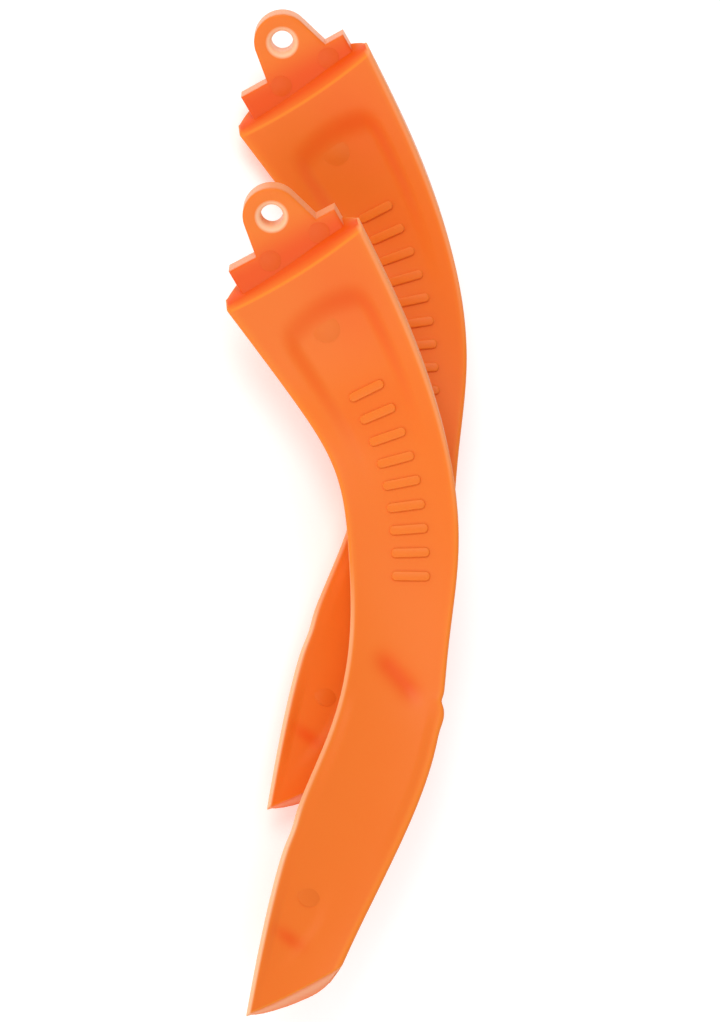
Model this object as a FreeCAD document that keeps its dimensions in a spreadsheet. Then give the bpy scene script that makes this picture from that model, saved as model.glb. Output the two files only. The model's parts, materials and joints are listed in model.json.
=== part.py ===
"""Two loose, identical one-piece plastic arms, one laid over the other.

Each arm is a curved, dished blade with a D-shaped section.  Its wide end
carries a stepped tongue with an eye for a hinge pin, and its narrow end is cut
off at a slant.  All sizes are in millimetres and degrees.
"""
import FreeCAD
import Part
import Sketcher
import math
import os
from FreeCAD import Placement, Rotation, Vector

SIZES = {
    # blade section
    "rim_draft": 0.2,
    "dish": 0.7,
    "end_lean": 20.0,
    # tongue and eye lug, measured from the middle of the wide end
    "tongue_turn": 27.0,
    "tongue_roll": 10.0,
    "tongue_inset": 2.4,
    "tongue_left": 10.8,
    "tongue_right": 11.0,
    "tongue_root": 4.0,
    "tongue_thick": 5.0,
    "step_left": 4.3,
    "step_right": 5.4,
    "lug_left": 5.3,
    "lug_right": 7.3,
    "lug_radius": 5.1,
    "eye_across": 0.75,
    "eye_reach": 9.5,
    "eye_radius": 1.95,
    "eye_round": 1.1,
    # slanted cut of the narrow end, measured in the frame of section TRIM_SECTION
    "tip_across": 5.7,
    "tip_along": 15.5,
    "cut_angle": 43.0,
    "cut_lean": 22.0,
    "corner_across": 13.2,
    "corner_radius": 4.5,
    "cut_through": 60.0,
    # how the arms lie
    "lie_tilt": 13.4,
    "lie_roll": 26.75,
    "stack_height": 8.65,
    "stack_along": 35.9,
    "stack_across": 11.2,
    "back_turn": 0.7,
    # spacing of the blade sections along the arm
    "first_along": 42.5,
    "section_pitch": 16.3,
}

# One row per blade section, wide end first.
SECTION_COLUMNS = ("across", "height", "turn", "roll", "width", "depth",
                   "left_wall", "right_wall", "keel")
SECTIONS = (
    (-11.75, 0.8, 31.0, 14.0, 28.7, 10.5, 3.2, 3.2, 0.0),
    (-2.0, -3.6, 29.0, 13.0, 24.65, 10.2, 3.2, 3.2, 0.0),
    (5.25, -3.2, 16.0, 7.0, 20.5, 9.6, 3.0, 3.0, 0.0),
    (7.6, -1.2, 2.0, 3.0, 19.4, 9.2, 2.8, 2.8, 0.0),
    (6.85, 2.2, -7.0, -1.0, 17.4, 8.9, 2.6, 2.6, 0.0),
    (4.2, 6.8, -15.0, -5.0, 18.6, 8.4, 2.5, 2.8, 1.0),
    (-2.35, 13.0, -21.0, -9.0, 18.9, 7.4, 1.9, 3.2, 3.2),
    (-8.75, 20.3, -19.0, -10.0, 15.5, 5.9, 1.1, 3.7, 4.6),
    (-14.4, 28.0, -14.0, -10.0, 11.4, 4.0, 0.6, 3.0, 4.2),
)
TRIM_SECTION = 7
TRIM_REACH = 60.0
EXTENT_TOLERANCE = 0.02
ARMS = ("back_arm", "front_arm")


def make_sheet(doc):
    """Put every driving dimension in a spreadsheet under its own alias."""
    sheet = doc.addObject("Spreadsheet::Sheet", "dims")
    values = dict(SIZES)
    for number, row in enumerate(SECTIONS):
        for column, value in zip(SECTION_COLUMNS, row):
            values[f"{column}_{number}"] = value
    for line, (alias, value) in enumerate(values.items(), start=1):
        sheet.set(f"A{line}", alias)
        sheet.set(f"B{line}", str(value))
        sheet.setAlias(f"B{line}", alias)
    doc.recompute()
    return sheet


def section_centre(sheet, number):
    """Middle of a section's face edge, in the arm's own frame."""
    across = sheet.get(f"across_{number}")
    along = sheet.first_along - number * sheet.section_pitch
    return Vector(across, along, sheet.get(f"height_{number}"))


def across_axis(turn, roll):
    """Direction across a face that is turned about Z and rolled about Y."""
    turning = Rotation(Vector(0, 0, 1), turn)
    rolling = Rotation(Vector(0, 1, 0), -roll)
    return turning.multVec(rolling.multVec(Vector(1, 0, 0)))


def section_axes(sheet, number):
    """Directions across the face and straight out of it."""
    last = len(SECTIONS) - 1
    above = section_centre(sheet, max(number - 1, 0))
    below = section_centre(sheet, min(number + 1, last))
    across = across_axis(sheet.get(f"turn_{number}"), sheet.get(f"roll_{number}"))
    outward = (below - above).cross(across).normalize()
    return across, outward


def add_sketch(body, name, centre, x_axis, y_axis):
    """Sketch in the body, attached to its XY plane and moved to a frame."""
    sketch = body.newObject("Sketcher::SketchObject", name)
    plane = next(o for o in body.Origin.OriginFeatures if o.Role == "XY_Plane")
    sketch.AttachmentSupport = [(plane, "")]
    sketch.MapMode = "FlatFace"
    facing = Rotation(x_axis, y_axis, x_axis.cross(y_axis), "XYZ")
    sketch.AttachmentOffset = Placement(centre, facing)
    return sketch


def relate(sketch, kind, *references):
    """Add a geometric constraint."""
    sketch.addConstraint(Sketcher.Constraint(kind, *references))


def add_chain(sketch, edges, backwards=(), smooth=()):
    """Add edges and join them end to start into a closed outline.

    An arc runs anticlockwise in a sketch, so one that the outline meets the
    other way round is listed in backwards.  An edge listed in smooth runs on
    into the next one without a corner.
    """
    for edge in edges:
        sketch.addGeometry(edge)
    for number in range(len(edges)):
        follower = (number + 1) % len(edges)
        end = 1 if number in backwards else 2
        start = 2 if follower in backwards else 1
        kind = "Tangent" if number in smooth else "Coincident"
        relate(sketch, kind, number, end, follower, start)


def bind(sketch, kind, references, value, name, expression):
    """Add a driving constraint and bind it to the sheet."""
    index = sketch.addConstraint(Sketcher.Constraint(kind, *references, value))
    sketch.renameConstraint(index, name)
    sketch.setExpression(f"Constraints.{name}", expression)


def arc_radius(half_chord, rise):
    """Radius of the arc with this half chord and rise."""
    return (half_chord ** 2 + rise ** 2) / (2 * rise)


def between(start, end, hub, radius):
    """Point of an arc half way between its two ends."""
    return hub + (start + end - hub * 2).normalize() * radius


def blade_section(body, sheet, number):
    """D-shaped section: dished face, upright rim walls and a round back."""
    across, outward = section_axes(sheet, number)
    centre = section_centre(sheet, number)
    if number == 0:
        outward = Rotation(across, sheet.end_lean).multVec(outward)
    sketch = add_sketch(body, f"section_{number}", centre, across, outward)
    half = sheet.get(f"width_{number}") / 2
    depth = sheet.get(f"depth_{number}")
    left_wall = sheet.get(f"left_wall_{number}")
    right_wall = sheet.get(f"right_wall_{number}")
    keel = sheet.get(f"keel_{number}")
    foot = half - sheet.rim_draft
    bottom = Vector(keel, -depth, 0)
    top_left = Vector(-half, 0, 0)
    top_right = Vector(half, 0, 0)
    low_right = Vector(foot, -right_wall, 0)
    low_left = Vector(-foot, -left_wall, 0)
    left_radius = arc_radius(foot + keel, depth - left_wall)
    right_radius = arc_radius(foot - keel, depth - right_wall)
    left_hub = bottom + Vector(0, left_radius, 0)
    right_hub = bottom + Vector(0, right_radius, 0)
    add_chain(sketch, [
        Part.Arc(low_left, between(low_left, bottom, left_hub, left_radius), bottom),
        Part.Arc(bottom, between(low_right, bottom, right_hub, right_radius), low_right),
        Part.LineSegment(low_right, top_right),
        Part.Arc(top_left, Vector(0, -sheet.dish, 0), top_right),
        Part.LineSegment(top_left, low_left),
    ], backwards=(3,))
    half_text = f"dims.width_{number} / 2"
    bind(sketch, "DistanceX", (-1, 1, 2, 2), half, "half_width", half_text)
    foot_text = f"{half_text} - dims.rim_draft"
    bind(sketch, "DistanceX", (-1, 1, 2, 1), foot, "right_foot", foot_text)
    bind(sketch, "DistanceX", (4, 2, -1, 1), foot, "left_foot", foot_text)
    bind(sketch, "DistanceY", (2, 1, 2, 2), right_wall, "right_wall", f"dims.right_wall_{number}")
    bind(sketch, "DistanceY", (4, 2, 4, 1), left_wall, "left_wall", f"dims.left_wall_{number}")
    bind(sketch, "DistanceX", (-1, 1, 0, 2), keel, "keel", f"dims.keel_{number}")
    bind(sketch, "DistanceY", (0, 2, -1, 1), depth, "depth", f"dims.depth_{number}")
    bind(sketch, "Radius", (3,), arc_radius(half, sheet.dish), "face_radius",
         f"(({half_text})^2 + dims.dish^2) / (2 * dims.dish)")
    relate(sketch, "PointOnObject", 2, 2, -1)
    relate(sketch, "Symmetric", 2, 2, 4, 1, -2)
    # Both back arcs run level at the keel.
    relate(sketch, "Vertical", 0, 3, 0, 2)
    relate(sketch, "Vertical", 1, 3, 1, 1)
    return sketch


def add_blade(body, sheet):
    """Curved blade lofted through all the sections."""
    sketches = [blade_section(body, sheet, number) for number in range(len(SECTIONS))]
    loft = body.newObject("PartDesign::AdditiveLoft", "blade")
    loft.Profile = sketches[0]
    loft.Sections = sketches[1:]


def trim_tip(body, sheet):
    """Slanted cut of the narrow end, with its outer corner rounded."""
    across, outward = section_axes(sheet, TRIM_SECTION)
    centre = section_centre(sheet, TRIM_SECTION)
    upward = outward.cross(across)
    angle = math.radians(sheet.cut_angle)
    tip = centre - across * sheet.tip_across - upward * sheet.tip_along
    # The plane leans about the slanted line, so that the back reaches further than the face.
    slant_axis = across * math.cos(angle) + upward * math.sin(angle)
    lean = Rotation(slant_axis, -sheet.cut_lean)
    sketch = add_sketch(body, "tip_cut_outline", tip, lean.multVec(across), lean.multVec(upward))
    slant = Vector(math.cos(angle), math.sin(angle), 0)
    inward = Vector(-slant.y, slant.x, 0)
    radius = sheet.corner_radius
    # The corner arc touches the slanted line and a line along the arm.
    run = (sheet.corner_across - radius - radius * inward.x) / slant.x
    touch = slant * run
    hub = touch + inward * radius
    arc_end = hub + Vector(radius, 0, 0)
    arc_middle = between(touch, arc_end, hub, radius)
    start = slant * (-TRIM_REACH / 2)
    right = Vector(TRIM_REACH, arc_end.y, 0)
    low_right = Vector(TRIM_REACH, -TRIM_REACH, 0)
    low_left = Vector(start.x, -TRIM_REACH, 0)
    add_chain(sketch, [
        Part.LineSegment(start, touch),
        Part.Arc(touch, arc_middle, arc_end),
        Part.LineSegment(arc_end, right),
        Part.LineSegment(right, low_right),
        Part.LineSegment(low_right, low_left),
        Part.LineSegment(low_left, start),
    ], smooth=(0,))
    relate(sketch, "Horizontal", 2)
    relate(sketch, "Vertical", 3)
    relate(sketch, "Horizontal", 4)
    relate(sketch, "Vertical", 5)
    bind(sketch, "Radius", (1,), radius, "corner_radius", "dims.corner_radius")
    bind(sketch, "DistanceX", (-1, 1, 2, 1), sheet.corner_across, "corner",
         "dims.corner_across")
    bind(sketch, "Angle", (0,), angle, "cut_angle", "dims.cut_angle * 1 deg")
    pocket = body.newObject("PartDesign::Pocket", "tip_cut")
    pocket.Profile = sketch
    pocket.SideType = "Symmetric"
    pocket.setExpression("Length", "dims.cut_through")


def tongue_frame(sheet):
    """Middle, across and along directions of the tongue's front face."""
    outward = section_axes(sheet, 0)[1]
    centre = section_centre(sheet, 0) - outward * sheet.tongue_inset
    across = across_axis(sheet.tongue_turn, sheet.tongue_roll)
    outward = Vector(1, 0, 0).cross(across).normalize()
    return centre, across, outward.cross(across)


def add_tongue(body, sheet):
    """Stepped tongue and eye lug that stand out of the wide end."""
    sketch = add_sketch(body, "tongue_outline", *tongue_frame(sheet))
    eye = Vector(sheet.eye_across, sheet.eye_reach, 0)
    left = Vector(-sheet.lug_left, sheet.step_left, 0)
    right = Vector(sheet.lug_right, sheet.step_right, 0)
    arc_left = tangent_point(left, eye, sheet.lug_radius, -1)
    arc_right = tangent_point(right, eye, sheet.lug_radius, 1)
    top = eye + Vector(0, sheet.lug_radius, 0)
    root_left = Vector(-sheet.tongue_left, -sheet.tongue_root, 0)
    root_right = Vector(sheet.tongue_right, -sheet.tongue_root, 0)
    step_left = Vector(-sheet.tongue_left, sheet.step_left, 0)
    step_right = Vector(sheet.tongue_right, sheet.step_right, 0)
    add_chain(sketch, [
        Part.LineSegment(root_left, root_right),
        Part.LineSegment(root_right, step_right),
        Part.LineSegment(step_right, right),
        Part.LineSegment(right, arc_right),
        Part.Arc(arc_right, top, arc_left),
        Part.LineSegment(arc_left, left),
        Part.LineSegment(left, step_left),
        Part.LineSegment(step_left, root_left),
    ], smooth=(3, 4))
    for edge, kind in ((0, "Horizontal"), (1, "Vertical"), (2, "Horizontal"),
                       (6, "Horizontal"), (7, "Vertical")):
        relate(sketch, kind, edge)
    bind(sketch, "DistanceX", (0, 1, -1, 1), sheet.tongue_left, "left", "dims.tongue_left")
    bind(sketch, "DistanceX", (-1, 1, 0, 2), sheet.tongue_right, "right", "dims.tongue_right")
    bind(sketch, "DistanceY", (0, 1, -1, 1), sheet.tongue_root, "root", "dims.tongue_root")
    bind(sketch, "DistanceY", (-1, 1, 2, 1), right.y, "step_right", "dims.step_right")
    bind(sketch, "DistanceY", (-1, 1, 6, 1), left.y, "step_left", "dims.step_left")
    bind(sketch, "DistanceX", (6, 1, -1, 1), sheet.lug_left, "lug_left", "dims.lug_left")
    bind(sketch, "DistanceX", (-1, 1, 2, 2), sheet.lug_right, "lug_right", "dims.lug_right")
    bind(sketch, "DistanceX", (-1, 1, 4, 3), eye.x, "eye_across", "dims.eye_across")
    bind(sketch, "DistanceY", (-1, 1, 4, 3), eye.y, "eye_reach", "dims.eye_reach")
    bind(sketch, "Radius", (4,), sheet.lug_radius, "lug_radius", "dims.lug_radius")
    pad = body.newObject("PartDesign::Pad", "tongue")
    pad.Profile = sketch
    pad.Reversed = True
    pad.setExpression("Length", "dims.tongue_thick")


def tangent_point(outside, centre, radius, side):
    """Where the line from a point touches a circle, on its left or right side."""
    across = outside - centre
    swing = math.acos(radius / across.Length)
    return centre + turned(across, side * swing) * (radius / across.Length)


def turned(vector, angle):
    """The vector turned about the sketch's normal by an angle in radians."""
    return Rotation(Vector(0, 0, 1), math.degrees(angle)).multVec(vector)


def add_eye(body, sheet):
    """Pin hole through the lug, with both rims rounded over."""
    sketch = add_sketch(body, "eye_outline", *tongue_frame(sheet))
    eye = Vector(sheet.eye_across, sheet.eye_reach, 0)
    sketch.addGeometry(Part.Circle(eye, Vector(0, 0, 1), sheet.eye_radius))
    bind(sketch, "DistanceX", (-1, 1, 0, 3), eye.x, "eye_across", "dims.eye_across")
    bind(sketch, "DistanceY", (-1, 1, 0, 3), eye.y, "eye_reach", "dims.eye_reach")
    bind(sketch, "Radius", (0,), sheet.eye_radius, "eye_radius", "dims.eye_radius")
    hole = body.newObject("PartDesign::Pocket", "eye")
    hole.Profile = sketch
    hole.setExpression("Length", "dims.tongue_thick")
    body.Document.recompute()
    rims = [f"Edge{number}" for number, edge in enumerate(hole.Shape.Edges, start=1)
            if is_circle(edge, sheet.eye_radius)]
    fillet = body.newObject("PartDesign::Fillet", "eye_rims")
    fillet.Base = (hole, rims)
    fillet.setExpression("Radius", "dims.eye_round")


def is_circle(edge, radius):
    """Tell whether an edge is a full circle of this radius."""
    full = edge.isClosed() and isinstance(edge.Curve, Part.Circle)
    return full and abs(edge.Curve.Radius - radius) < 0.001


def build_arm(doc, sheet, name):
    """One arm as a body of its own."""
    body = doc.addObject("PartDesign::Body", name)
    body.Label = name
    add_blade(body, sheet)
    doc.recompute()
    uncut = body.Shape.Volume
    trim_tip(body, sheet)
    doc.recompute()
    if body.Shape.Volume > uncut - 1.0:
        raise RuntimeError("the tip cut took nothing off")
    add_tongue(body, sheet)
    add_eye(body, sheet)
    doc.recompute()
    return body


def lay_down(body, sheet, turn, offset):
    """Turn an arm into its lying pose, set it down on z = 0 and shift it."""
    spin = Rotation(Vector(0, 0, 1), turn)
    tilt = Rotation(Vector(1, 0, 0), sheet.lie_tilt)
    roll = Rotation(Vector(0, 1, 0), -sheet.lie_roll)
    body.Placement = Placement(Vector(0, 0, 0), spin.multiply(tilt).multiply(roll))
    points, _ = body.Shape.tessellate(EXTENT_TOLERANCE)
    box = FreeCAD.BoundBox()
    for point in points:
        box.add(point)
    foot = Vector(box.Center.x, box.Center.y, box.ZMin)
    body.Placement.Base = offset - foot


def check(doc):
    """Stop if any object failed or any arm is not one good solid."""
    for item in doc.Objects:
        if "Invalid" in item.State or "Error" in item.State:
            raise RuntimeError(f"{item.Name} failed: {item.State}")
    for name in ARMS:
        shape = doc.getObject(name).Shape
        if shape.isNull() or not shape.isValid() or len(shape.Solids) != 1:
            raise RuntimeError(f"{name} is not one valid solid")


def main():
    doc = FreeCAD.newDocument("release_arms")
    sheet = make_sheet(doc)
    shift = Vector(sheet.stack_across, sheet.stack_along, 0) / 2
    lift = Vector(0, 0, sheet.stack_height)
    for name, turn, offset in zip(ARMS, (sheet.back_turn, 0.0), (shift, lift - shift)):
        lay_down(build_arm(doc, sheet, name), sheet, turn, offset)
    doc.recompute()
    check(doc)
    os.makedirs("parts", exist_ok=True)
    for name in ARMS:
        doc.getObject(name).Shape.exportStep(f"parts/{name}.step")


main()
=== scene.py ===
"""Two loose moulded plastic arms: fine surface meshes, plastic and studio."""
import json
import math

import bmesh
import bpy
import numpy as np
from mathutils import Matrix, Vector

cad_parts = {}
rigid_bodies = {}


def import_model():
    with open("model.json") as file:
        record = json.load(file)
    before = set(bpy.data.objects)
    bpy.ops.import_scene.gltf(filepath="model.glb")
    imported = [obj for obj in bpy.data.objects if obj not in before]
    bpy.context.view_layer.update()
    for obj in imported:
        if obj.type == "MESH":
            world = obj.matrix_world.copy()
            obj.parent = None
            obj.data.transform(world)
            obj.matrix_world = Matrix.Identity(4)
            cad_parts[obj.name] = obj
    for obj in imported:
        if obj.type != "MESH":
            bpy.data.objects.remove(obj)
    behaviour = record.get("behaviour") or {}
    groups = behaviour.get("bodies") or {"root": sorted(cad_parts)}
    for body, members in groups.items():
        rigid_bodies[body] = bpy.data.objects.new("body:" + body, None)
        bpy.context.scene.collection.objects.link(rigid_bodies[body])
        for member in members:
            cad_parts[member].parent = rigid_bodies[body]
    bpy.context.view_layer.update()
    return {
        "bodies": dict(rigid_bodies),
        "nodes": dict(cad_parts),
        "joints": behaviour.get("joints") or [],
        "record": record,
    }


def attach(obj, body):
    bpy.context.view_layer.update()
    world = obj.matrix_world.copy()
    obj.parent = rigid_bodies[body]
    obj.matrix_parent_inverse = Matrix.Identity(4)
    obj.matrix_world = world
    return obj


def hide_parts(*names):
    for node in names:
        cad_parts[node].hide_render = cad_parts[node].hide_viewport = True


MM = 0.001
ARMS = ("back_arm", "front_arm")

# Blade sections, wide end first:
# across, height, turn, roll, width, depth, left wall, right wall, keel.
# The last one lies half a millimetre further in than the solid's, because the
# smooth curve used here swings wider near the tip.
SECTIONS = (
    (-11.75, 0.8, 31.0, 14.0, 28.7, 10.5, 3.2, 3.2, 0.0),
    (-2.0, -3.6, 29.0, 13.0, 24.65, 10.2, 3.2, 3.2, 0.0),
    (5.25, -3.2, 16.0, 7.0, 20.5, 9.6, 3.0, 3.0, 0.0),
    (7.6, -1.2, 2.0, 3.0, 19.4, 9.2, 2.8, 2.8, 0.0),
    (6.85, 2.2, -7.0, -1.0, 17.4, 8.9, 2.6, 2.6, 0.0),
    (4.2, 6.8, -15.0, -5.0, 18.6, 8.4, 2.5, 2.8, 1.0),
    (-2.35, 13.0, -21.0, -9.0, 18.9, 7.4, 1.9, 3.2, 3.2),
    (-8.75, 20.3, -19.0, -10.0, 15.5, 5.9, 1.1, 3.7, 4.6),
    (-13.87, 28.0, -14.0, -10.0, 11.4, 4.0, 0.6, 3.0, 4.2),
)
FIRST_ALONG = 42.5
SECTION_PITCH = 16.3
RIM_DRAFT = 0.2
DISH = 0.7
END_LEAN = math.radians(20.0)
END_SAG = 1.5
RIM_RADIUS = 0.6
PARTING_LIP = 0.14

# Tongue and eye lug, from the middle of the wide end.
TONGUE_TURN = 27.0
TONGUE_ROLL = 10.0
TONGUE_INSET = 2.4
TONGUE_LEFT = 10.8
TONGUE_RIGHT = 11.0
TONGUE_ROOT = 4.0
TONGUE_THICK = 5.0
STEP_LEFT = 4.3
STEP_RIGHT = 5.4
LUG_LEFT = 5.3
LUG_RIGHT = 7.3
LUG_RADIUS = 5.1
EYE = (0.75, 9.5)
EYE_RADIUS = 1.95
EYE_ROUND = 1.1

# Slanted cut of the narrow end, in the frame of section TRIM_SECTION.
TRIM_SECTION = 7
TIP = (-5.7, -15.5)
CUT_ANGLE = math.radians(43.0)
CUT_LEAN = math.radians(22.0)
CORNER_ACROSS = 13.2
CORNER_RADIUS = 4.5
CUT_SEARCH_START = 6.0
CUT_SEARCH_STEPS = 600

# How an arm lies, and the mesh's fineness.
LIE_TILT = math.radians(13.4)
LIE_ROLL = math.radians(26.75)
ARM_TURN = {"back_arm": math.radians(0.7), "front_arm": 0.0}
RINGS = 300
RIB_COUNT = 9
RIB_FIRST = 1.32
RIB_LAST = 3.3
RIB_LENGTH = 6.8
RIB_WIDTH = 1.7
RIB_HEIGHT = 0.45
MARK_HEIGHT = 0.022
FACE_MARKS = ((0.64, -0.07, 2.45), (6.64, -0.24, 2.1))
TONGUE_MARKS = ((-3.4, 2.6, 1.9), (6.6, 3.0, 1.9))
# Painted highlight on the grip ribs.
RIB_PAINTED_HIGHLIGHT = (0, 0.1, 0, 1)
# Painted shade on the ejector marks of the face and of the tongue.
FACE_MARK_PAINTED_SHADE = (0.15, 0, 0, 1)
TONGUE_MARK_PAINTED_SHADE = (0.85, 0, 0, 1)
FACE_STEPS = 64
ROUND_STEPS = 6
WIDE_END_ROUND = 0.4
TIP_ROUND = 0.3
TONGUE_BACK_ROUND = 0.8
TONGUE_FRONT_ROUND = 0.35
TONGUE_EDGE_LENGTH = 1.0
MOULDING_SHARP_ANGLE = math.radians(38)
DETAIL_SHARP_ANGLE = math.radians(50)


# ---------------------------------------------------------------- sections

def section_centre(number):
    """Middle of a section's face edge, in the arm's own frame."""
    across, height = SECTIONS[number][:2]
    return Vector((across, FIRST_ALONG - number * SECTION_PITCH, height))


def across_axis(turn, roll):
    """Direction across a face that is turned about Z and rolled about Y."""
    turning = Matrix.Rotation(math.radians(turn), 3, "Z")
    rolling = Matrix.Rotation(-math.radians(roll), 3, "Y")
    return turning @ rolling @ Vector((1, 0, 0))


def section_axes(number):
    """Directions across the face and straight out of it."""
    above = section_centre(max(number - 1, 0))
    below = section_centre(min(number + 1, len(SECTIONS) - 1))
    across = across_axis(*SECTIONS[number][2:4])
    outward = (below - above).cross(across).normalized()
    return across, outward


def arc(hub, radius, start, end, count):
    """Points of an arc between two angles, both ends included."""
    angles = np.linspace(start, end, count)
    return np.column_stack((hub[0] + radius * np.cos(angles), hub[1] + radius * np.sin(angles)))


def back_arc(lip, keel, rise, side, count):
    """Arc from the foot of a rim wall to the keel, which it meets level."""
    reach = lip - side * keel
    radius = (reach ** 2 + rise ** 2) / (2 * rise)
    swing = math.atan2(reach, radius - rise)
    return arc((keel, radius - rise), radius, -math.pi / 2, -math.pi / 2 + side * swing, count)


def wall_points(half, wall, side):
    """Points down a rim wall, from under its rounded edge to its foot."""
    points = np.linspace((half, -RIM_RADIUS), (half - RIM_DRAFT, -wall), 4)[1:]
    return points * (side, 1)


def half_profile(half, depth, left_wall, right_wall, keel):
    """Upper and lower halves of a D section, each from left to right."""
    hub_x = half - RIM_RADIUS
    face = np.linspace(-1, 1, FACE_STEPS)
    face_points = np.column_stack((hub_x * face, -DISH * (1 - face ** 2)))
    right_rim = arc((hub_x, -RIM_RADIUS), RIM_RADIUS, math.pi / 2, 0, ROUND_STEPS + 1)
    left_rim = right_rim[::-1] * (-1, 1)
    foot = half - RIM_DRAFT
    upper = np.vstack((wall_points(half, left_wall, -1)[::-1], left_rim, face_points[1:-1],
                       right_rim, wall_points(half, right_wall, 1)))
    lip = foot - PARTING_LIP
    count = len(upper) // 2
    left = back_arc(lip, keel, depth - left_wall, -1, count)[::-1] - (0, left_wall)
    right = back_arc(lip, keel, depth - right_wall, 1, len(upper) - count + 1) - (0, right_wall)
    lower = np.vstack((left, right[1:]))
    return upper, lower


def section_points():
    """Profile points of every section in the arm's frame: section, half, point, xyz."""
    rows = []
    for number, (_, _, _, _, width, *shape) in enumerate(SECTIONS):
        across, outward = section_axes(number)
        if number == 0:
            outward = Matrix.Rotation(END_LEAN, 3, across) @ outward
        centre = np.array(section_centre(number))
        halves = [centre + half[:, :1] * np.array(across) + half[:, 1:] * np.array(outward)
                  for half in half_profile(width / 2, *shape)]
        rows.append(halves)
    return np.array(rows)


def spline_weights(places):
    """Weights of the sections at each place for a smooth curve through them."""
    count = len(SECTIONS)
    second = np.zeros((count, count))
    bend = np.eye(count)
    for row in range(1, count - 1):
        bend[row, row - 1:row + 2] = (1, 4, 1)
        second[row, row - 1:row + 2] = (6, -12, 6)
    moments = np.linalg.solve(bend, second)
    places = np.clip(np.asarray(places, float), 0, count - 1)
    low = np.minimum(places.astype(int), count - 2)
    high_share = (places - low)[..., None]
    low_share = 1 - high_share
    straight = low_share * np.eye(count)[low] + high_share * np.eye(count)[low + 1]
    curved = ((low_share ** 3 - low_share) * moments[low]
              + (high_share ** 3 - high_share) * moments[low + 1]) / 6
    return straight + curved


# ---------------------------------------------------------------- blade

def kept_depth(points):
    """How far points lie inside the slanted cut with its rounded corner."""
    across, outward = section_axes(TRIM_SECTION)
    upward = outward.cross(across)
    tip = section_centre(TRIM_SECTION) + across * TIP[0] + upward * TIP[1]
    slant_axis = across * math.cos(CUT_ANGLE) + upward * math.sin(CUT_ANGLE)
    lean = Matrix.Rotation(-CUT_LEAN, 3, slant_axis)
    local = points - np.array(tip)
    x = local @ np.array(lean @ across)
    y = local @ np.array(lean @ upward)
    slant = (math.cos(CUT_ANGLE), math.sin(CUT_ANGLE))
    straight = y * slant[0] - x * slant[1]
    hub_x = CORNER_ACROSS - CORNER_RADIUS
    run = (hub_x + CORNER_RADIUS * slant[1]) / slant[0]
    hub_y = run * slant[1] + CORNER_RADIUS * slant[0]
    angle = np.arctan2(y - hub_y, x - hub_x)
    in_corner = (angle < 0) & (angle > CUT_ANGLE - math.pi / 2)
    rounded = CORNER_RADIUS - np.hypot(x - hub_x, y - hub_y)
    return np.where(in_corner, rounded, straight)


def end_places(profile):
    """Place along the arm where each profile line meets the slanted cut."""
    samples = np.linspace(CUT_SEARCH_START, len(SECTIONS) - 1, CUT_SEARCH_STEPS)
    lines = np.einsum("us,shpc->uhpc", spline_weights(samples), profile)
    depth = kept_depth(lines)
    outside = np.argmax(depth <= 0, axis=0)
    return samples[outside]


def smooth_step(value, start, end):
    """Soft rise from 0 at the start to 1 at the end."""
    share = np.clip((value - start) / (end - start), 0, 1)
    return share * share * (3 - 2 * share)


def bump(value, middle, spread):
    """Soft bump of height 1 around a middle."""
    return np.exp(-((value - middle) / spread) ** 2)


def pocket_shape(place, side):
    """Share of the soft pocket under the wide end, which fades out downwards."""
    top = smooth_step(place, 0.3 + 0.2 * side ** 2, 0.62 + 0.3 * side ** 2)
    fade = 1 - smooth_step(place, 1.1, 2.4)
    return top * fade * (1 - smooth_step(np.abs(side), 0.46, 0.74))


def valley_shape(place, side):
    """Share of the slanting valley that runs out to the notch in the convex edge."""
    off = 13.1 * (place - 4.16) - 5.4 * (side + 0.44)
    along = 0.88 * (place - 4.13) + 0.65 * (side + 0.44)
    reach = smooth_step(along, -0.15, 0.3) * (1 - smooth_step(along, 0.7, 1.15))
    return bump(off, 0.0, 1.9) * reach


def facet_shape(place, side):
    """Share of the shallow facet on the concave side of the narrow end."""
    crease = 0.2 - 1.1 * np.clip(place - 6.85, 0, 1) ** 1.2
    side_share = 1 - smooth_step(side, crease - 0.3, crease + 0.05)
    return side_share * smooth_step(place, 6.3, 7.0) * (1 - 0.8 * smooth_step(place, 7.15, 7.5))


def face_relief(place, side):
    """Height of the face's soft hollows, in millimetres.

    place counts sections from the wide end, side runs from -1 to 1 across.
    """
    inside = 1 - smooth_step(np.abs(side), 0.7, 0.94)
    hollow = 0.7 * pocket_shape(place, side) + 0.3 * valley_shape(place, side)
    panel = 0.3 * smooth_step(place, 4.5, 4.9) * (1 - smooth_step(place, 5.3, 6.4))
    return inside * (panel - hollow - 0.3 * facet_shape(place, side))


def face_painted_shade(place, side):
    """Painted shade in the hollows, the valley, a wedge and a ridge, from 0 to 1."""
    band = 4 * pocket_shape(place, side) * (1 - pocket_shape(place, side))
    arch = band * (1 - smooth_step(place, 0.9, 2.2))
    wedge = bump(place, 7.12 + 0.1 * side, 0.07) * bump(side, -0.42, 0.34)
    ridge = 0.35 * bump(side, 0.35, 0.5) * bump(place, 0.5, 0.5)
    return np.clip(0.4 * arch + 0.9 * valley_shape(place, side) + 0.8 * wedge + ridge, 0, 1)


def edge_shift(place, side):
    """Sideways shift of the rims, in millimetres: a notch on the right, a kink on the left."""
    notch = -0.35 * bump(place, 4.52, 0.05) + 0.45 * bump(place, 4.68, 0.11)
    kink = 0.35 * bump(place, 6.12, 0.16)
    return notch * np.clip(side, 0, 1) ** 4 + kink * np.clip(-side, 0, 1) ** 4


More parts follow.
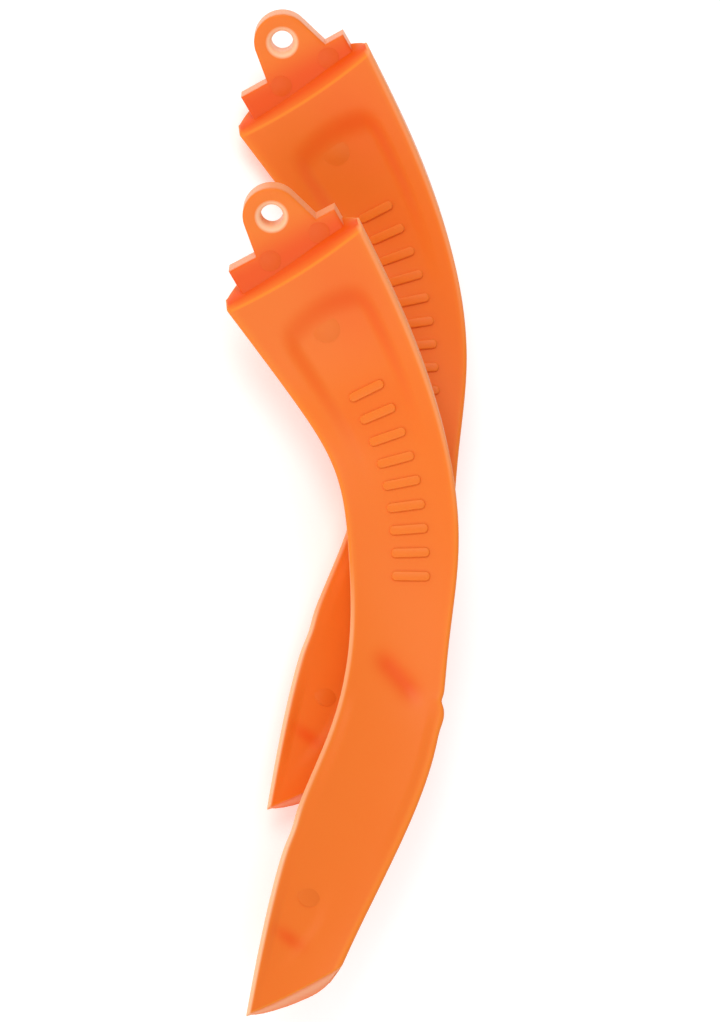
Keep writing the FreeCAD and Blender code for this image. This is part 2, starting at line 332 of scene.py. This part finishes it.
def blade_rings(profile):
    """Rings of the blade from the wide end to the slanted cut, with each point's painted light and
    shade.

    Points come as ring, half, point, xyz.  Painted light and shade come as ring, half, point,
    channel: painted shade in the hollows, painted highlight along the rim and painted pale glow on
    the rim wall.
    """
    ends = end_places(profile)
    line_side = np.linspace(-1, 1, profile.shape[2])
    starts = np.zeros_like(ends)
    starts[0] = END_SAG / SECTION_PITCH * (1 - line_side ** 2)
    share = np.linspace(0, 1, RINGS)[:, None, None]
    places = starts[None] + share * (ends - starts)[None]
    points = np.einsum("uhps,shpc->uhpc", spline_weights(places), profile)
    left = points[:, 0, :1]
    right = points[:, 0, -1:]
    across = right - left
    width = np.linalg.norm(across, axis=2, keepdims=True)
    across = across / width
    middle = (left + right) / 2
    offsets = points[:, 0] - middle
    side = np.sum(offsets * across, axis=2) / (width[..., 0] / 2)
    down = np.gradient(points[:, 0], axis=0)
    outward = np.cross(down, np.broadcast_to(across, down.shape))
    outward /= np.linalg.norm(outward, axis=2, keepdims=True)
    below = -np.sum(offsets * outward, axis=2)
    on_face = 1 - smooth_step(below, 0.95, 1.3)
    points[:, 0] += outward * (face_relief(places[:, 0], side) * on_face)[..., None]
    lower_side = np.broadcast_to(line_side, side.shape)
    for half, sides in ((0, side), (1, lower_side)):
        points[:, half] += across * edge_shift(places[:, half], sides)[..., None]
    # Painted light and shade per point: shade, rim highlight and pale glow.
    shading_paint = np.zeros(points.shape)
    # Painted shade: channel 0 darkens the face's hollows, valley, wedge and ridge.
    shading_paint[:, 0, :, 0] = face_painted_shade(places[:, 0], side) * on_face
    # Painted highlight: channel 1 lightens the face near its rounded rims.
    shading_paint[:, 0, :, 1] = 0.45 * smooth_step(np.abs(side), 0.86, 0.99) * on_face
    # Painted glow: pale bands on the left and right rim walls, and on every wall below the face.
    left_wall_painted_glow = 0.4 * smooth_step(places[:, 0], 3.0, 4.0) + 0.45 * smooth_step(places[:, 0], 5.6, 6.3)
    right_wall_painted_glow = 0.3 * (1 - smooth_step(places[:, 0], 1.8, 3.0))
    lit = (left_wall_painted_glow * smooth_step(-side, 0.92, 0.98) + right_wall_painted_glow * smooth_step(side, 0.93, 0.98))
    shading_paint[:, 0, :, 2] = np.maximum(0.45 * (1 - on_face), lit)
    # Painted glow along the sides of the back.
    shading_paint[:, 1, :, 2] = 0.2 * smooth_step(np.abs(lower_side), 0.9, 1.0)
    return points, shading_paint


def loop_of(halves):
    """One closed loop of points from an upper and a lower half."""
    return np.vstack((halves[0], halves[1][::-1]))


def inset_loop(loop, plane_normal, amount):
    """Loop moved inwards within its plane by a small amount."""
    tangent = np.roll(loop, -3, axis=0) - np.roll(loop, 3, axis=0)
    tangent /= np.linalg.norm(tangent, axis=1, keepdims=True)
    inward = np.cross(plane_normal, tangent)
    centre = loop.mean(axis=0)
    if np.mean(np.einsum("pc,pc->p", inward, centre - loop)) < 0:
        inward = -inward
    return loop + inward * amount


def rounded_end(loops, shading_paint, radius):
    """Replace the last loops of an end by a quarter-round that turns inwards, with a painted
    highlight along it.
    """
    last = loops[-1]
    quarter = len(last) // 4
    normal = np.cross(last[quarter] - last[0], last[2 * quarter] - last[0])
    normal /= np.linalg.norm(normal)
    kept = list(loops[:-1])
    back = loops[-2] - last
    back = back / np.linalg.norm(back, axis=1, keepdims=True)
    while len(kept) > 2 and np.max(np.linalg.norm(kept[-1] - last, axis=1)) < radius * 1.3:
        kept.pop()
    kept_shading_paint = list(shading_paint[:len(kept)])
    for step in range(ROUND_STEPS + 1):
        angle = math.pi / 2 * step / ROUND_STEPS
        slid = last + back * radius * (1 - math.sin(angle))
        kept.append(inset_loop(slid, normal, radius * (1 - math.cos(angle))))
        # Painted highlight along the rounded end's edge.
        glow = shading_paint[-1].copy()
        glow[:, 1] = np.maximum(glow[:, 1], 0.8 * math.sin(2 * angle))
        kept_shading_paint.append(glow)
    return kept, kept_shading_paint


def cap_rows(loop, plane_point=None, plane_normal=None):
    """Rows of points across an end from its face edge to its back edge."""
    count = len(loop) // 2
    face = loop[:count]
    back = loop[count:][::-1]
    span = back - face
    length = np.linalg.norm(span, axis=1, keepdims=True)
    share = np.minimum(TONGUE_INSET / np.maximum(length, 1e-6), 0.5)
    rows = []
    for part in (0.5, 1.0):
        row = face + span * share * part
        if plane_point is not None:
            gap = (plane_point - row) @ plane_normal
            row = row + gap[:, None] * plane_normal * part
        rows.append(row)
    return rows


def add_end(mesh, ring, rows, shading_paint_layer, painted_shading):
    """Close an end with strips of faces between its face and back edges."""
    count = len(ring) // 2
    face = ring[:count]
    back = ring[count:][::-1]
    lines = [face]
    for row in rows:
        inner = [mesh.verts.new(point) for point in row[1:-1]]
        for vert in inner:
            vert[shading_paint_layer] = painted_shading
        lines.append([face[0], *inner, face[-1]])
    lines.append(back)
    for upper, lower in zip(lines, lines[1:]):
        for number in range(count - 1):
            corners = (upper[number], upper[number + 1], lower[number + 1], lower[number])
            mesh.faces.new(list(dict.fromkeys(corners)))


def add_loops(mesh, loops, shading_paint, shading_paint_layer):
    """Quads between closed loops; returns the vertices of each loop."""
    rows = []
    for loop, painted_shading in zip(loops, shading_paint):
        row = [mesh.verts.new(point) for point in loop]
        for vert, value in zip(row, painted_shading):
            vert[shading_paint_layer] = (*value, 1)
        rows.append(row)
    count = len(rows[0])
    for upper, lower in zip(rows, rows[1:]):
        for number in range(count):
            follower = (number + 1) % count
            mesh.faces.new((upper[number], upper[follower], lower[follower], lower[number]))
    return rows


def blade_mesh():
    """Closed mesh of the curved blade in the arm's frame, in millimetres."""
    points, shading_paint = blade_rings(section_points())
    loops = [loop_of(halves) for halves in points]
    shades = [loop_of(halves) for halves in shading_paint]
    loops, shades = rounded_end(loops, shades, TIP_ROUND)
    loops, shades = rounded_end(loops[::-1], shades[::-1], WIDE_END_ROUND)
    mesh = bmesh.new()
    layer = mesh.verts.layers.float_color.new("painted_shading")
    rows = add_loops(mesh, loops, shades, layer)
    # Painted pale glow on the narrow end's cap.
    add_end(mesh, rows[0], cap_rows(loops[0]), layer, (0, 0, 0.4, 1))
    across, outward = section_axes(0)
    leaned = Matrix.Rotation(END_LEAN, 3, across) @ outward
    plane_normal = np.array(leaned.cross(across))
    wide = cap_rows(loops[-1], np.array(section_centre(0)), plane_normal)
    # Full painted shade on the wide end's cap, round the tongue's root.
    add_end(mesh, rows[-1], wide, layer, (1, 0, 0, 1))
    bmesh.ops.recalc_face_normals(mesh, faces=mesh.faces)
    return mesh


# ---------------------------------------------------------------- tongue

def tangent_angle(corner):
    """Angle on the lug's round end where a line from a corner touches it."""
    dx = corner[0] - EYE[0]
    dy = corner[1] - EYE[1]
    swing = math.acos(LUG_RADIUS / math.hypot(dx, dy))
    return math.atan2(dy, dx) + (swing if dx > 0 else -swing)


def tongue_outline():
    """Outline of the stepped tongue and its lug, across and along."""
    right = (LUG_RIGHT, STEP_RIGHT)
    left = (-LUG_LEFT, STEP_LEFT)
    start = tangent_angle(right)
    end = tangent_angle(left) % (2 * math.pi)
    top = [tuple(point) for point in arc(EYE, LUG_RADIUS, start, end, 40)]
    return [(-TONGUE_LEFT, -TONGUE_ROOT), (TONGUE_RIGHT, -TONGUE_ROOT),
            (TONGUE_RIGHT, STEP_RIGHT), right, *top, left, (-TONGUE_LEFT, STEP_LEFT)]


def tongue_mesh():
    """Plate with a round eye in its own flat frame."""
    mesh = bmesh.new()
    mesh.verts.layers.float_color.new("painted_shading")
    rim = [tuple(point) for point in arc(EYE, EYE_RADIUS, 0, 2 * math.pi, 65)[:-1]]
    edges = []
    for points in (tongue_outline(), rim):
        verts = [mesh.verts.new((x, y, 0)) for x, y in points]
        edges += [mesh.edges.new(pair) for pair in zip(verts, verts[1:] + verts[:1])]
    bmesh.ops.triangle_fill(mesh, edges=edges, use_beauty=True)
    made = bmesh.ops.extrude_face_region(mesh, geom=list(mesh.faces))
    moved = [item for item in made["geom"] if isinstance(item, bmesh.types.BMVert)]
    bmesh.ops.translate(mesh, verts=moved, vec=(0, 0, -TONGUE_THICK))
    bmesh.ops.recalc_face_normals(mesh, faces=mesh.faces)
    return mesh


def sharp_edges(mesh):
    """Edges whose faces meet at more than 40 degrees."""
    return [edge for edge in mesh.edges if edge.calc_face_angle(0) > math.radians(40)]


def edge_middle(edge):
    """Point half way along an edge."""
    return (edge.verts[0].co + edge.verts[1].co) / 2


def round_tongue(mesh):
    """Round the eye's rims fully, the back edges well and the front edges a little."""
    eye = Vector(EYE)
    near_eye = EYE_RADIUS + 0.1
    rims = [edge for edge in sharp_edges(mesh) if (edge_middle(edge).xy - eye).length < near_eye]
    bmesh.ops.bevel(mesh, geom=rims, offset=EYE_ROUND, segments=7, profile=0.5,
                    affect="EDGES", clamp_overlap=False)
    rounded = EYE_RADIUS + EYE_ROUND + 0.1
    outer = [edge for edge in sharp_edges(mesh)
             if (edge_middle(edge).xy - eye).length > rounded]
    back = [edge for edge in outer if edge_middle(edge).z < -TONGUE_THICK + 0.01]
    front = [edge for edge in outer if edge_middle(edge).z > -0.01]
    bmesh.ops.bevel(mesh, geom=back, offset=TONGUE_BACK_ROUND, segments=5, profile=0.5,
                    affect="EDGES", clamp_overlap=True)
    front = [edge for edge in front if edge.is_valid]
    bmesh.ops.bevel(mesh, geom=front, offset=TONGUE_FRONT_ROUND, segments=3, profile=0.5,
                    affect="EDGES", clamp_overlap=True)


def refine(mesh, longest):
    """Split long edges so that the colour can change across flat faces."""
    for _ in range(6):
        bmesh.ops.triangulate(mesh, faces=mesh.faces[:])
        long_edges = [edge for edge in mesh.edges if edge.calc_length() > longest]
        if not long_edges:
            break
        bmesh.ops.subdivide_edges(mesh, edges=long_edges, cuts=1)
    bmesh.ops.triangulate(mesh, faces=mesh.faces[:])


def paint_tongue_shading(mesh):
    """Painted shade near the root, painted pale glow on the side walls, a painted pale highlight
    round the eye and a faint painted highlight away from the root.
    """
    layer = mesh.verts.layers.float_color["painted_shading"]
    eye = Vector(EYE)
    for vert in mesh.verts:
        away = (vert.co.xy - eye).length
        below = -vert.co.z
        # Painted shade towards the root, painted glow on the side walls and a painted highlight
        # round the eye.
        root_painted_shade = smooth_step(-vert.co.y, -9.0, -2.0)
        wall = smooth_step(below, 0.1, 0.7)
        ring = 1 - smooth_step(away, EYE_RADIUS + EYE_ROUND * 0.6, EYE_RADIUS + EYE_ROUND)
        vert[layer] = (root_painted_shade * (1 - wall), 0.2 * (1 - root_painted_shade), max(0.45 * wall, ring), 1)


def tongue_matrix():
    """Frame of the tongue's front face: across, along, outward."""
    across = across_axis(TONGUE_TURN, TONGUE_ROLL)
    outward = Vector((1, 0, 0)).cross(across).normalized()
    along = outward.cross(across)
    centre = section_centre(0) - section_axes(0)[1] * TONGUE_INSET
    return Matrix.Translation(centre) @ Matrix((across, along, outward)).transposed().to_4x4()


# ---------------------------------------------------------------- placing

def eye_middle():
    """Middle of the eye's wall in the arm's frame, in millimetres."""
    return tongue_matrix() @ Vector((EYE[0], EYE[1], -TONGUE_THICK / 2))


def lie_matrix(frame, arm):
    """Arm frame in millimetres to the row frame in metres."""
    mount = next(m for m in frame["record"]["mounts"] if m["name"] == f"{arm}_eye")
    turn = (Matrix.Rotation(ARM_TURN[arm], 4, "Z") @ Matrix.Rotation(LIE_TILT, 4, "X")
            @ Matrix.Rotation(-LIE_ROLL, 4, "Y"))
    scaled = turn @ Matrix.Scale(MM, 4)
    return Matrix.Translation(Vector(mount["pos_m"]) - scaled @ eye_middle()) @ scaled


def make_object(name, mesh, material=None):
    """Turn a bmesh into an object in the scene, and free the bmesh."""
    data = bpy.data.meshes.new(name)
    mesh.to_mesh(data)
    mesh.free()
    if material:
        data.materials.append(material)
    made = bpy.data.objects.new(name, data)
    bpy.context.scene.collection.objects.link(made)
    return made


def join_meshes(target, other, matrix):
    """Copy another bmesh, moved by a matrix, into the target."""
    bmesh.ops.transform(other, matrix=matrix, verts=other.verts)
    holder = bpy.data.meshes.new("holder")
    other.to_mesh(holder)
    other.free()
    target.from_mesh(holder)
    bpy.data.meshes.remove(holder)


def moulding(frame, arm, material):
    """The whole one-piece arm, standing for its CAD node."""
    mesh = blade_mesh()
    tongue = tongue_mesh()
    round_tongue(tongue)
    refine(tongue, TONGUE_EDGE_LENGTH)
    paint_tongue_shading(tongue)
    join_meshes(mesh, tongue, tongue_matrix())
    bmesh.ops.transform(mesh, matrix=lie_matrix(frame, arm), verts=mesh.verts)
    for face in mesh.faces:
        face.smooth = True
    made = make_object(f"{arm}_moulding", mesh, material)
    made.data.set_sharp_from_angle(angle=MOULDING_SHARP_ANGLE)
    return made


# ---------------------------------------------------------------- raised details

def face_frame(place, side):
    """Point of the face with its directions across and outward, in the arm's frame."""
    def surface(at, across_share):
        points = []
        for number, row in enumerate(SECTIONS):
            across, outward = section_axes(number)
            half = row[4] / 2
            points.append(section_centre(number) + across * (half * across_share)
                          - outward * DISH * (1 - across_share ** 2))
        return Vector(spline_weights(at) @ np.array(points))

    step = 0.02
    spot = surface(place, side)
    across = (surface(place, side + step) - surface(place, side - step)).normalized()
    down = surface(place + step, side) - surface(place - step, side)
    outward = down.cross(across).normalized()
    return spot + outward * float(face_relief(place, side)), across, outward


def pill_shape():
    """One raised grip rib: rounded ends, softened top."""
    mesh = bmesh.new()
    bmesh.ops.create_cube(mesh, size=1)
    bmesh.ops.scale(mesh, vec=(RIB_LENGTH * MM, RIB_WIDTH * MM, 2 * RIB_HEIGHT * MM),
                    verts=mesh.verts)
    upright = [edge for edge in mesh.edges if abs(edge.verts[0].co.z - edge.verts[1].co.z) > 1e-6]
    bmesh.ops.bevel(mesh, geom=upright, offset=0.46 * RIB_WIDTH * MM, segments=8, profile=0.5,
                    affect="EDGES")
    top = [edge for edge in mesh.edges if min(vert.co.z for vert in edge.verts) > 0]
    bmesh.ops.bevel(mesh, geom=top, offset=0.55 * RIB_HEIGHT * MM, segments=4, profile=0.5,
                    affect="EDGES")
    return make_object("pill_shape", mesh)


def disc_shape():
    """One ejector mark of 1 mm radius, to be scaled up."""
    mesh = bmesh.new()
    bmesh.ops.create_cone(mesh, cap_ends=True, segments=64, radius1=MM, radius2=MM,
                          depth=2 * MARK_HEIGHT * MM)
    top = [edge for edge in mesh.edges if min(vert.co.z for vert in edge.verts) > 0]
    bmesh.ops.bevel(mesh, geom=top, offset=0.6 * MARK_HEIGHT * MM, segments=3, profile=0.5,
                    affect="EDGES")
    return make_object("disc_shape", mesh)


def scatter_group():
    """Node tree that sets a shape on every point, turned to its own directions."""
    group = bpy.data.node_groups.new("scatter", "GeometryNodeTree")
    sockets = {}
    for name, kind in (("Points", "Geometry"), ("Shape", "Object"), ("Material", "Material")):
        sockets[name] = group.interface.new_socket(
            name=name, in_out="INPUT", socket_type=f"NodeSocket{kind}").identifier
    group.interface.new_socket(name="Result", in_out="OUTPUT", socket_type="NodeSocketGeometry")
    nodes = group.nodes
    given = nodes.new("NodeGroupInput")
    shape = nodes.new("GeometryNodeObjectInfo")
    place = nodes.new("GeometryNodeInstanceOnPoints")
    turn = nodes.new("FunctionNodeAxesToRotation")
    turn.primary_axis = "Z"
    turn.secondary_axis = "X"
    realize = nodes.new("GeometryNodeRealizeInstances")
    finish = nodes.new("GeometryNodeSetMaterial")
    result = nodes.new("NodeGroupOutput")
    named = {}
    for name, kind in (("outward", "FLOAT_VECTOR"), ("across", "FLOAT_VECTOR"), ("reach", "FLOAT")):
        named[name] = nodes.new("GeometryNodeInputNamedAttribute")
        named[name].data_type = kind
        named[name].inputs["Name"].default_value = name
    link = group.links.new
    link(given.outputs["Points"], place.inputs["Points"])
    link(given.outputs["Shape"], shape.inputs["Object"])
    link(shape.outputs["Geometry"], place.inputs["Instance"])
    link(named["outward"].outputs["Attribute"], turn.inputs["Primary Axis"])
    link(named["across"].outputs["Attribute"], turn.inputs["Secondary Axis"])
    link(turn.outputs["Rotation"], place.inputs["Rotation"])
    link(named["reach"].outputs["Attribute"], place.inputs["Scale"])
    link(place.outputs["Instances"], realize.inputs["Geometry"])
    link(realize.outputs["Geometry"], finish.inputs["Geometry"])
    link(given.outputs["Material"], finish.inputs["Material"])
    link(finish.outputs["Geometry"], result.inputs["Result"])
    return group, sockets


SPOT_LAYERS = (
    ("across", "FLOAT_VECTOR", "vector"),
    ("outward", "FLOAT_VECTOR", "vector"),
    ("reach", "FLOAT", "value"),
    ("painted_shading", "FLOAT_COLOR", "color"),
)


def scatter(name, shape, spots, scatter_tree, material):
    """Plain mesh of a shape set on every spot (point, across, outward, scale, painted light and
    shade).
    """
    group, sockets = scatter_tree
    data = bpy.data.meshes.new(name)
    data.from_pydata([spot[0] for spot in spots], [], [])
    for column, (label, kind, field) in enumerate(SPOT_LAYERS, start=1):
        layer = data.attributes.new(label, kind, "POINT")
        values = np.ravel([spot[column] for spot in spots]).astype(np.float32)
        layer.data.foreach_set(field, values)
    guide = bpy.data.objects.new(f"{name}_guide", data)
    bpy.context.scene.collection.objects.link(guide)
    modifier = guide.modifiers.new("scatter", "NODES")
    modifier.node_group = group
    modifier[sockets["Shape"]] = shape
    modifier[sockets["Material"]] = material
    graph = bpy.context.evaluated_depsgraph_get()
    built = bpy.data.meshes.new_from_object(guide.evaluated_get(graph), depsgraph=graph)
    guide.modifiers.clear()
    bpy.data.objects.remove(guide)
    made = bpy.data.objects.new(name, built)
    bpy.context.scene.collection.objects.link(made)
    built.shade_smooth()
    built.set_sharp_from_angle(angle=DETAIL_SHARP_ANGLE)
    return made


def rib_spots(placing):
    """Places of the grip ribs down the middle of the face."""
    spots = []
    for number in range(RIB_COUNT):
        share = number / (RIB_COUNT - 1)
        place = RIB_FIRST + share * (RIB_LAST - RIB_FIRST)
        frame = face_frame(place, 0.02 + 0.12 * share)
        spots.append(row_spot(placing, *frame, 1.0, RIB_PAINTED_HIGHLIGHT))
    return spots


def mark_spots(placing):
    """Places of the ejector marks on the face and the tongue."""
    spots = [row_spot(placing, *face_frame(place, side), radius, FACE_MARK_PAINTED_SHADE)
             for place, side, radius in FACE_MARKS]
    tongue = tongue_matrix()
    across = tongue.to_3x3() @ Vector((1, 0, 0))
    outward = tongue.to_3x3() @ Vector((0, 0, 1))
    for x, y, radius in TONGUE_MARKS:
        spot = tongue @ Vector((x, y, 0))
        spots.append(row_spot(placing, spot, across, outward, radius, TONGUE_MARK_PAINTED_SHADE))
    return spots


def row_spot(placing, point, across, outward, scale, painted_shading):
    """A spot of the arm's frame as it lies in the scene."""
    turn = placing.to_quaternion()
    return placing @ point, turn @ across, turn @ outward, scale, painted_shading


# ---------------------------------------------------------------- plastic

FACE_COLOUR = (0.84, 0.165, 0.014, 1)
FACE_COLOUR_WARM = (0.86, 0.185, 0.019, 1)
# Painted shade, painted rim highlight and painted pale glow colours.
PAINTED_SHADE_COLOUR = (0.82, 0.092, 0.004, 1)
PAINTED_RIM_HIGHLIGHT_COLOUR = (0.89, 0.26, 0.022, 1)
PAINTED_GLOW_COLOUR = (0.95, 0.53, 0.31, 1)


def mixed(nodes, links, factor, first, second):
    """Colour mix; each side is a plain colour or the output of another node."""
    mix = nodes.new("ShaderNodeMix")
    mix.data_type = "RGBA"
    links.new(factor, mix.inputs["Factor"])
    for label, colour in (("A", first), ("B", second)):
        if isinstance(colour, tuple):
            mix.inputs[label].default_value = colour
        else:
            links.new(colour, mix.inputs[label])
    return mix.outputs["Result"]


def plastic():
    """Bright orange injection-moulded plastic, with painted shade, a painted rim highlight and a
    painted pale glow where it is thin mixed into its colour.
    """
    material = bpy.data.materials.new("orange_plastic")
    material.use_nodes = True
    nodes = material.node_tree.nodes
    links = material.node_tree.links
    shader = nodes["Principled BSDF"]
    shader.inputs["Roughness"].default_value = 0.38
    shader.inputs["Specular IOR Level"].default_value = 0.22
    shader.inputs["Subsurface Weight"].default_value = 0.08
    shader.inputs["Subsurface Radius"].default_value = (1.0, 0.35, 0.08)
    shader.inputs["Subsurface Scale"].default_value = 0.002
    place = nodes.new("ShaderNodeTexCoord")
    flow = nodes.new("ShaderNodeTexNoise")
    flow.inputs["Scale"].default_value = 45
    flow.inputs["Detail"].default_value = 4
    links.new(place.outputs["Object"], flow.inputs["Vector"])
    painted_shading = nodes.new("ShaderNodeAttribute")
    painted_shading.attribute_name = "painted_shading"
    split = nodes.new("ShaderNodeSeparateColor")
    links.new(painted_shading.outputs["Color"], split.inputs["Color"])
    colour = mixed(nodes, links, flow.outputs["Fac"], FACE_COLOUR, FACE_COLOUR_WARM)
    # Painted shade, painted highlight and painted glow from the attribute's red, green and blue
    # channels.
    colour = mixed(nodes, links, split.outputs["Red"], colour, PAINTED_SHADE_COLOUR)
    colour = mixed(nodes, links, split.outputs["Green"], colour, PAINTED_RIM_HIGHLIGHT_COLOUR)
    colour = mixed(nodes, links, split.outputs["Blue"], colour, PAINTED_GLOW_COLOUR)
    links.new(colour, shader.inputs["Base Color"])
    grain = nodes.new("ShaderNodeTexNoise")
    grain.inputs["Scale"].default_value = 1600
    grain.inputs["Detail"].default_value = 4
    relief = nodes.new("ShaderNodeBump")
    relief.inputs["Strength"].default_value = 0.08
    relief.inputs["Distance"].default_value = 0.0001
    links.new(place.outputs["Object"], grain.inputs["Vector"])
    links.new(grain.outputs["Fac"], relief.inputs["Height"])
    links.new(relief.outputs["Normal"], shader.inputs["Normal"])
    return material


# ---------------------------------------------------------------- studio

FLOOR_REACH = 3.0


def studio_floor():
    """White table under the arms, with a slight glow so that it stays white."""
    data = bpy.data.meshes.new("studio_floor")
    reach = FLOOR_REACH
    corners = [(-reach, -reach, 0), (reach, -reach, 0), (reach, reach, 0), (-reach, reach, 0)]
    data.from_pydata(corners, [], [(0, 1, 2, 3)])
    floor = bpy.data.objects.new("studio_floor", data)
    bpy.context.scene.collection.objects.link(floor)
    material = bpy.data.materials.new("white_floor")
    material.use_nodes = True
    shader = material.node_tree.nodes["Principled BSDF"]
    shader.inputs["Base Color"].default_value = (0.9, 0.9, 0.9, 1)
    shader.inputs["Roughness"].default_value = 0.9
    shader.inputs["Specular IOR Level"].default_value = 0.1
    shader.inputs["Emission Color"].default_value = (1, 1, 1, 1)
    shader.inputs["Emission Strength"].default_value = 0.32
    data.materials.append(material)


def area_light(name, place, target, size, power):
    """Round soft light aimed at a target."""
    data = bpy.data.lights.new(name, "AREA")
    data.shape = "DISK"
    data.size = size
    data.energy = power
    lamp = bpy.data.objects.new(name, data)
    lamp.location = place
    lamp.rotation_euler = (Vector(place) - Vector(target)).to_track_quat("Z", "Y").to_euler()
    bpy.context.scene.collection.objects.link(lamp)


def studio_light():
    """White surroundings with a key light and a fill light."""
    world = bpy.data.worlds.new("studio")
    world.use_nodes = True
    sky = world.node_tree.nodes["Background"]
    sky.inputs["Color"].default_value = (1, 1, 1, 1)
    sky.inputs["Strength"].default_value = 0.7
    bpy.context.scene.world = world
    area_light("key_light", (-0.45, 0.45, 0.75), (0, 0, 0), 0.5, 2.9)
    area_light("fill_light", (-0.5, -0.6, 0.55), (0, 0, 0), 0.6, 1.8)


CAMERA_DISTANCE = 0.613
VIEW_HEIGHT = 0.17885


def camera(frame):
    """Camera square to the front arm's own frame, above its dished face."""
    placed = lie_matrix(frame, "front_arm")
    turn = placed.to_quaternion()
    data = bpy.data.cameras.new("camera")
    data.sensor_width = 36
    data.lens = data.sensor_width * CAMERA_DISTANCE / VIEW_HEIGHT
    data.clip_start = 0.01
    eye = bpy.data.objects.new("camera", data)
    eye.rotation_euler = turn.to_euler()
    eye.location = placed @ Vector((0, 0, CAMERA_DISTANCE / MM))
    bpy.context.scene.collection.objects.link(eye)
    bpy.context.scene.camera = eye


# ---------------------------------------------------------------- build

def main():
    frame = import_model()
    orange = plastic()
    pill = pill_shape()
    disc = disc_shape()
    scatter_tree = scatter_group()
    for arm in ARMS:
        placing = lie_matrix(frame, arm)
        piece = moulding(frame, arm, orange)
        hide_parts(arm)
        ribs = scatter(f"{arm}_grip_ribs", pill, rib_spots(placing), scatter_tree, orange)
        marks = scatter(f"{arm}_pin_marks", disc, mark_spots(placing), scatter_tree, orange)
        for made in (piece, ribs, marks):
            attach(made, arm)
    bpy.data.objects.remove(pill)
    bpy.data.objects.remove(disc)
    studio_floor()
    studio_light()
    camera(frame)
    bpy.context.scene.view_settings.view_transform = "Standard"


main()
